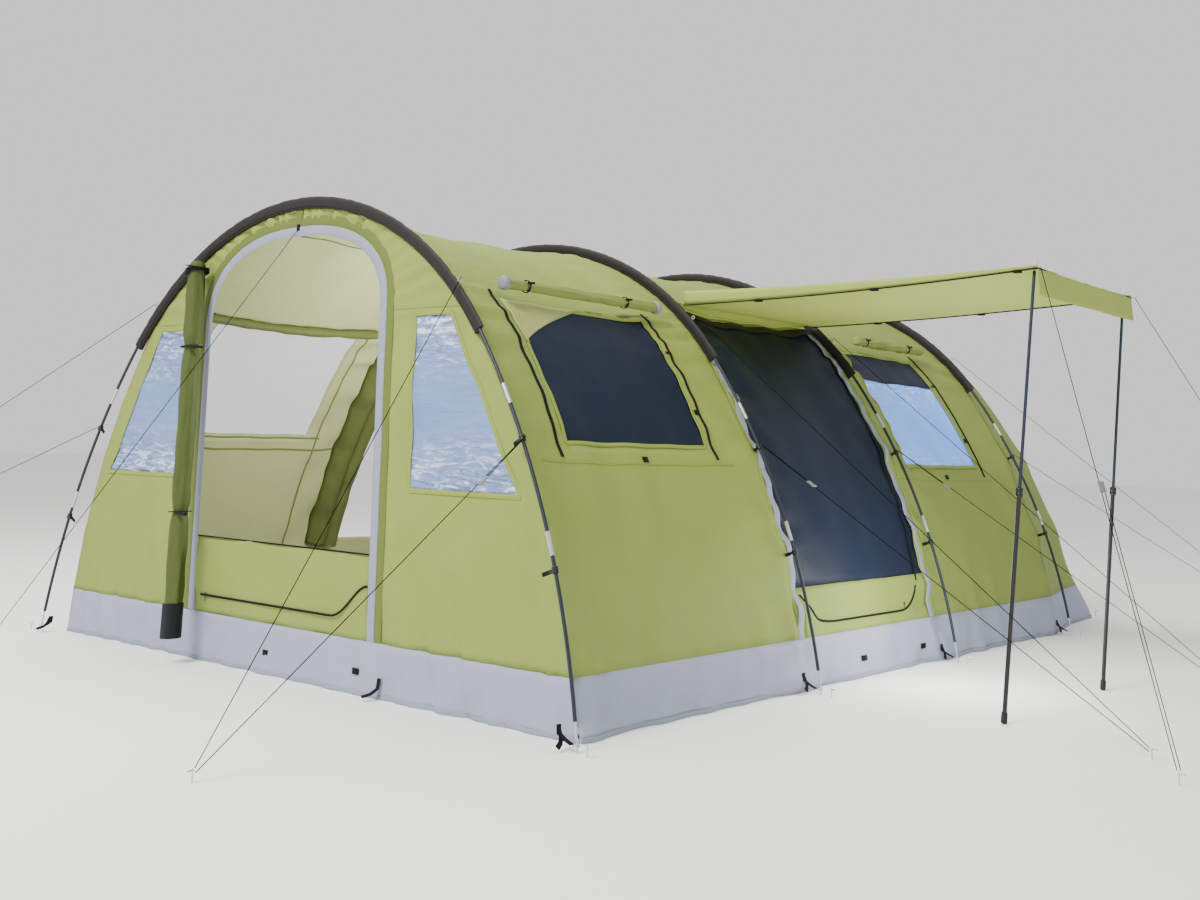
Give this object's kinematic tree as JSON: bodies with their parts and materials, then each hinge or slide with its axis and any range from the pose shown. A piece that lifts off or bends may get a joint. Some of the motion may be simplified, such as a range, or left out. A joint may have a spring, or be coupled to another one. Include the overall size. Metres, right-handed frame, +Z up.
{
  "type": "tunnel tent",
  "caption": "Family tunnel tent on arched poles, with a front door, side windows, a sleeping cabin and a side-door canopy held up by telescopic poles and guy lines.",
  "frame": {"origin": "underside of the groundsheet, on the tent's middle plane, below the middle of the side door and canopy", "axes": "+Z up; +Y from the front door towards the tail; +X towards the side with the canopy"},
  "size_m": [6.3417, 7.2581, 2.175],
  "materials": {
    "hoop_pole": "satin glass-fibre tube",
    "bright_steel": "bright",
    "sleeve_cloth": "plain weave",
    "fly_cloth": "coated polyester, fine weave",
    "canopy_cloth": "coated polyester, fine weave",
    "skirt_cloth": "coated polyester, fine weave",
    "trim_cloth": "coated polyester, fine weave",
    "mesh_cloth": "fine mesh",
    "clear_window": "clear, crinkled",
    "cabin_cloth": "light breathable weave",
    "floor_cloth": "coated, ribbed",
    "clip_plastic": "moulded",
    "webbing": "woven webbing",
    "peg_steel": "zinc",
    "canopy_pole": "satin",
    "slider_metal": "satin",
    "cord": "braided",
    "runner_plastic": "moulded"
  },
  "bodies": {
    "tent": {"cabin_floor": "floor_cloth", "cabin_walls": "cabin_cloth", "fly_front_bay": "fly_cloth", "fly_middle_bay": "fly_cloth", "fly_rear_bay": "fly_cloth", "fly_tail": "fly_cloth", "foot_pins": "bright_steel", "foot_straps": "webbing", "front_door_sill": "fly_cloth", "front_door_trim": "trim_cloth", "front_wall": "fly_cloth", "front_windows": "clear_window", "groundsheet": "floor_cloth", "guy_canopy_far": "cord", "guy_canopy_near": "cord", "guy_door_top": "cord", "guy_front_left_high": "cord", "guy_front_left_low": "cord", "guy_front_right_high": "cord", "guy_front_right_low": "cord", "guy_rear_high": "cord", "guy_rear_low": "cord", "guy_rings": "bright_steel", "guy_second_high": "cord", "guy_second_low": "cord", "guy_third_high": "cord", "guy_third_low": "cord", "hoop_ferrules": "bright_steel", "hoop_front": "hoop_pole", "hoop_rear": "hoop_pole", "hoop_second": "hoop_pole", "hoop_third": "hoop_pole", "left_door_roll": "fly_cloth", "mud_skirt": "skirt_cloth", "pegs": "peg_steel", "pole_clips": "clip_plastic", "pole_sleeves": "sleeve_cloth", "side_door_mesh": "mesh_cloth", "side_door_sills": "fly_cloth", "side_door_trim": "trim_cloth", "side_windows": "mesh_cloth"},
    "canopy": {"canopy_panel": "canopy_cloth", "canopy_valance": "canopy_cloth"},
    "pole_upper_near": {"canopy_pole_upper_near": "canopy_pole"},
    "pole_upper_far": {"canopy_pole_upper_far": "canopy_pole"},
    "pole_lower_near": {"canopy_pole_lower_near": "canopy_pole"},
    "pole_lower_far": {"canopy_pole_lower_far": "canopy_pole"},
    "front_door": {"front_door_roll": "fly_cloth"},
    "cover_right_front": {"window_cover_right_front": "fly_cloth"},
    "cover_right_rear": {"window_cover_right_rear": "fly_cloth"},
    "cover_left_front": {"window_cover_left_front": "fly_cloth"},
    "cover_left_rear": {"window_cover_left_rear": "fly_cloth"},
    "front_slider": {"front_door_slider": "slider_metal"},
    "side_slider": {"side_door_slider": "slider_metal"},
    "runner_canopy": {"runner_canopy": "runner_plastic"},
    "runner_front_left": {"runner_front_left": "runner_plastic"},
    "runner_front_right": {"runner_front_right": "runner_plastic"},
    "runner_rear": {"runner_rear": "runner_plastic"},
    "runner_second": {"runner_second": "runner_plastic"},
    "runner_third": {"runner_third": "runner_plastic"}
  },
  "joints": [
    {"name": "canopy_swing", "type": "hinge", "parent": "tent", "child": "canopy", "pos_m": [1.02692, 0, 1.7844], "axis": [0, 1, 0], "range_deg": [0, 13]},
    {"name": "canopy_pole_near_tilt", "type": "hinge", "parent": "canopy", "child": "pole_upper_near", "pos_m": [2.967, -0.532, 1.86385], "axis": [0, 1, 0], "range_deg": [-13, 0]},
    {"name": "canopy_pole_near_telescope", "type": "slide", "parent": "pole_upper_near", "child": "pole_lower_near", "axis": [0.0774, 0.0598, 0.9952], "range_m": [0, 0.4426]},
    {"name": "canopy_pole_far_tilt", "type": "hinge", "parent": "canopy", "child": "pole_upper_far", "pos_m": [2.967, 0.562, 1.86385], "axis": [0, 1, 0], "range_deg": [-13, 0]},
    {"name": "canopy_pole_far_telescope", "type": "slide", "parent": "pole_upper_far", "child": "pole_lower_far", "axis": [0.0774, 0.0598, 0.9952], "range_m": [0, 0.4426]},
    {"name": "front_door_swing", "type": "hinge", "parent": "tent", "child": "front_door", "pos_m": [-0.77, -2.26, 1], "axis": [0, 0, -1], "range_deg": [0, 60]},
    {"name": "window_cover_right_front_lift", "type": "hinge", "parent": "tent", "child": "cover_right_front", "pos_m": [1.0183, -1.42, 1.7734], "axis": [0, -1, 0], "range_deg": [0, 60]},
    {"name": "window_cover_right_rear_lift", "type": "hinge", "parent": "tent", "child": "cover_right_rear", "pos_m": [1.0183, 1.47, 1.7734], "axis": [0, -1, 0], "range_deg": [0, 60]},
    {"name": "window_cover_left_front_lift", "type": "hinge", "parent": "tent", "child": "cover_left_front", "pos_m": [-1.0183, -1.42, 1.7734], "axis": [0, 1, 0], "range_deg": [0, 60]},
    {"name": "window_cover_left_rear_lift", "type": "hinge", "parent": "tent", "child": "cover_left_rear", "pos_m": [-1.0183, 1.47, 1.7734], "axis": [0, 1, 0], "range_deg": [0, 60]},
    {"name": "front_door_zip", "type": "slide", "parent": "tent", "child": "front_slider", "axis": [1, 0, 0], "range_m": [0, 0.9]},
    {"name": "side_door_zip", "type": "slide", "parent": "tent", "child": "side_slider", "axis": [0, -1, 0], "range_m": [0, 0.78]},
    {"name": "runner_canopy_slide", "type": "slide", "parent": "tent", "child": "runner_canopy", "axis": [-0.3262, 0.2836, 0.9017], "range_m": [0, 0.25]},
    {"name": "runner_front_left_slide", "type": "slide", "parent": "tent", "child": "runner_front_left", "axis": [-0.415, -0.7583, -0.5027], "range_m": [0, 0.25]},
    {"name": "runner_front_right_slide", "type": "slide", "parent": "tent", "child": "runner_front_right", "axis": [-0.1406, -0.7228, -0.6766], "range_m": [0, 0.25]},
    {"name": "runner_rear_slide", "type": "slide", "parent": "tent", "child": "runner_rear", "axis": [0.7776, 0.3474, -0.5241], "range_m": [0, 0.25]},
    {"name": "runner_second_slide", "type": "slide", "parent": "tent", "child": "runner_second", "axis": [0.8659, -0.0733, -0.4949], "range_m": [0, 0.25]},
    {"name": "runner_third_slide", "type": "slide", "parent": "tent", "child": "runner_third", "axis": [0.8527, 0.0226, -0.522], "range_m": [0, 0.25]}
  ],
  "couplings": [
    {"joint": "canopy_pole_near_tilt", "follows": "canopy_swing", "ratio": -1},
    {"joint": "canopy_pole_near_telescope", "follows": "canopy_swing", "m_per_rad": 1.9418},
    {"joint": "canopy_pole_far_tilt", "follows": "canopy_swing", "ratio": -1},
    {"joint": "canopy_pole_far_telescope", "follows": "canopy_swing", "m_per_rad": 1.9418}
  ]
}
